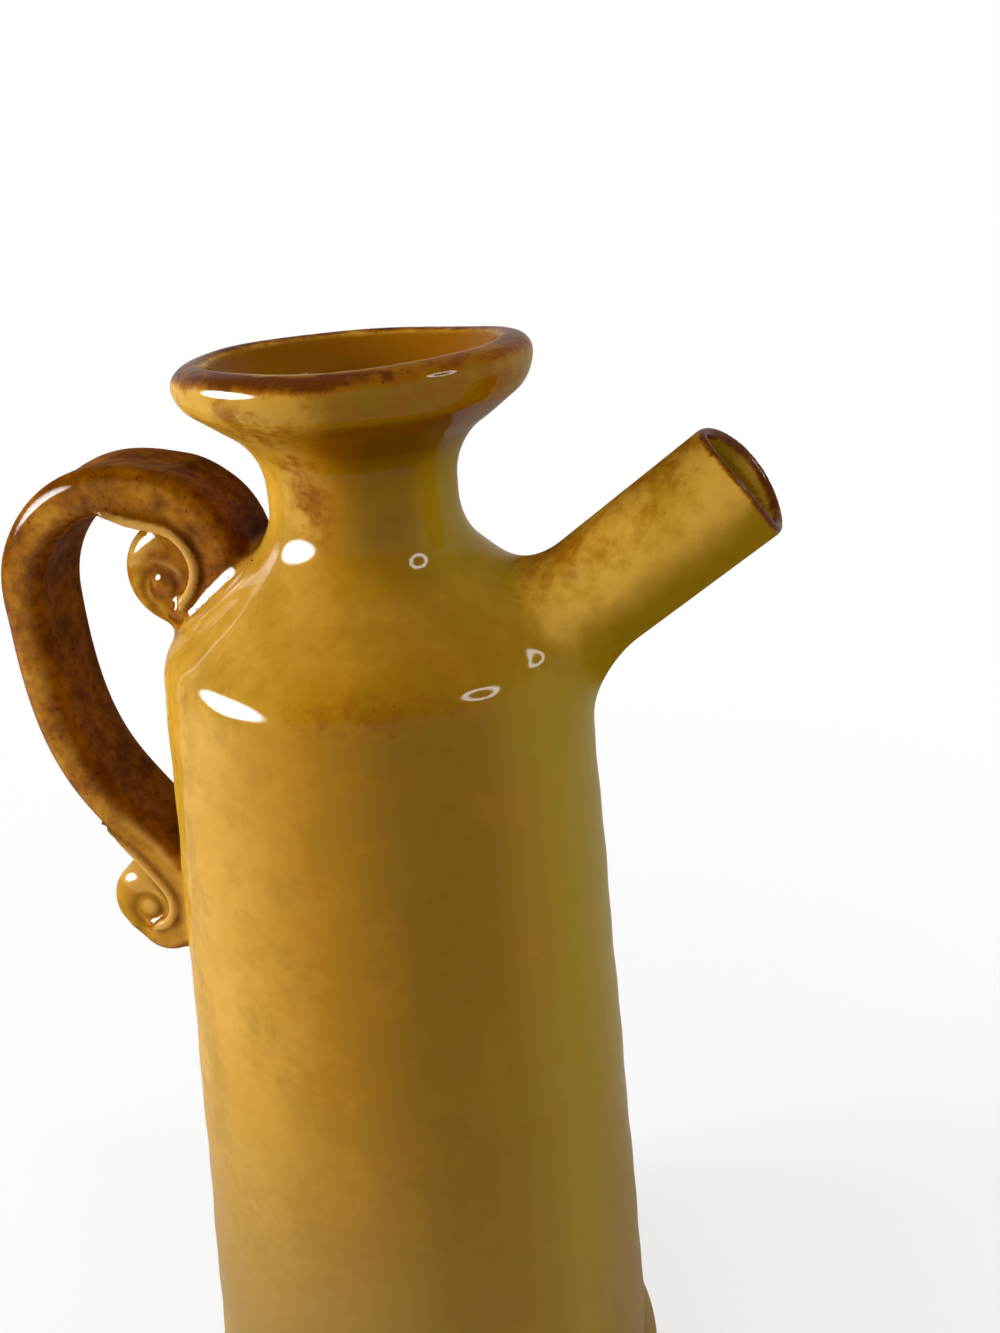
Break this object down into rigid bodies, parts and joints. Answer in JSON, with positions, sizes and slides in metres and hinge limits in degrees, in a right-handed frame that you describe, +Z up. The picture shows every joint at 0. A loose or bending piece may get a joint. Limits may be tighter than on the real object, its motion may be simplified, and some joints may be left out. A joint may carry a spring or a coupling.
{
  "type": "oil cruet",
  "caption": "Tall glazed earthenware oil cruet with a conical body, flared neck, slanted tubular spout and a scrolled strap handle.",
  "frame": {"origin": "centre of the resting face", "axes": "+Z up along the pot's axis, spout towards +X, handle towards -X"},
  "size_m": [0.1625, 0.1146, 0.2655],
  "materials": {
    "foot_glaze": "glossy glaze",
    "body_glaze": "glossy glaze",
    "shoulder_glaze": "glossy glaze",
    "neck_glaze": "glossy glaze",
    "lip_glaze": "glossy glaze",
    "spout_glaze": "glossy glaze",
    "spout_collar_glaze": "glossy glaze",
    "handle_strap_glaze": "glossy glaze",
    "upper_scroll_glaze": "glossy glaze",
    "lower_scroll_glaze": "glossy glaze"
  },
  "bodies": {
    "root": {"foot": "foot_glaze", "body": "body_glaze", "shoulder": "shoulder_glaze", "neck": "neck_glaze", "lip": "lip_glaze", "spout": "spout_glaze", "spout_collar": "spout_collar_glaze", "handle_strap": "handle_strap_glaze", "upper_scroll": "upper_scroll_glaze", "lower_scroll": "lower_scroll_glaze"}
  },
  "joints": []
}
